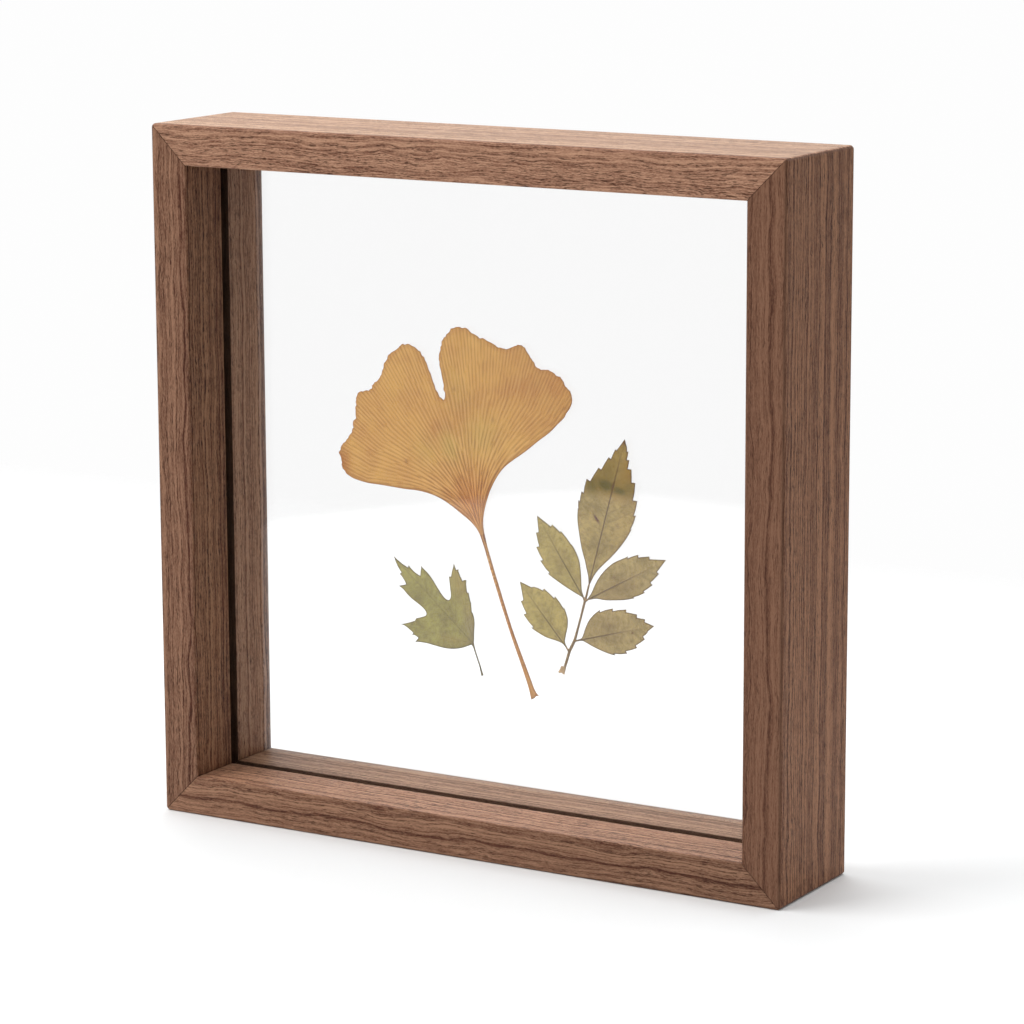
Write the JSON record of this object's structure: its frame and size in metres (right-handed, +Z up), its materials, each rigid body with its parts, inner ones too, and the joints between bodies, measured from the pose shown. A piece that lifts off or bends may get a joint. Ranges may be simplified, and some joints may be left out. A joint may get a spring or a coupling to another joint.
{
  "type": "pressed leaf floating frame",
  "caption": "Square walnut frame that holds pressed leaves, a ginkgo leaf, a lobed leaf and a leaflet sprig, between clear glass panes, for display on a shelf.",
  "frame": {"origin": "middle of the flat underside of the bottom rail, where the frame stands", "axes": "+Z up, the front of the frame faces -Y, +X to the right as seen from the front"},
  "size_m": [0.2, 0.04, 0.2],
  "materials": {
    "walnut": "planed and oiled walnut, satin, fine dark pores along the grain",
    "clear_glass": "clear float glass with ground edges",
    "dried_ginkgo": "pressed dry leaf, matt, golden tan with fine fanned veins",
    "dried_lobed_leaf": "pressed dry leaf, matt, olive green",
    "dried_leaflet": "pressed dry leaf, matt, khaki with a darker midrib",
    "dried_stem": "dry woody stem, matt brown"
  },
  "bodies": {
    "root": {"top_rail": "walnut", "bottom_rail": "walnut", "left_rail": "walnut", "right_rail": "walnut", "front_glass": "clear_glass", "back_glass": "clear_glass", "ginkgo_leaf": "dried_ginkgo", "lobed_leaf": "dried_lobed_leaf", "sprig_stem": "dried_stem", "tip_leaflet": "dried_leaflet", "upper_left_leaflet": "dried_leaflet", "upper_right_leaflet": "dried_leaflet", "lower_left_leaflet": "dried_leaflet", "lower_right_leaflet": "dried_leaflet"}
  },
  "joints": []
}
